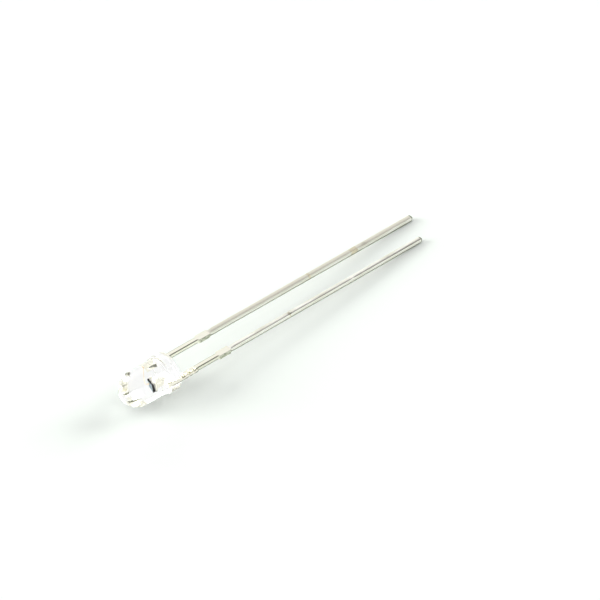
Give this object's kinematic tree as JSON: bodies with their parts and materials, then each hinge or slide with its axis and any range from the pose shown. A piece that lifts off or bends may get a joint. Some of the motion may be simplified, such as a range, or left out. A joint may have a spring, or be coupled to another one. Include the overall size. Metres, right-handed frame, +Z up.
{
  "type": "photodiode",
  "caption": "Clear domed epoxy light sensor on a small flange, with a silicon chip inside and two long square tinned leads, lying on its side.",
  "frame": {"origin": "on the table under the middle of the part's length as it lies at rest", "axes": "+Z up, +X along the part from the lens towards the lead tips, +Y towards the longer lead"},
  "size_m": [0.033, 0.0033, 0.0034],
  "materials": {
    "clear_epoxy": "gloss",
    "tinned_lead": "satin",
    "silicon": "gloss",
    "silver_adhesive": "matte",
    "gold": "polished"
  },
  "bodies": {
    "root": {"epoxy_body": "clear_epoxy", "anode_lead": "tinned_lead", "cathode_lead": "tinned_lead", "photodiode_chip": "silicon", "die_attach": "silver_adhesive", "bond_wire": "gold"}
  },
  "joints": []
}
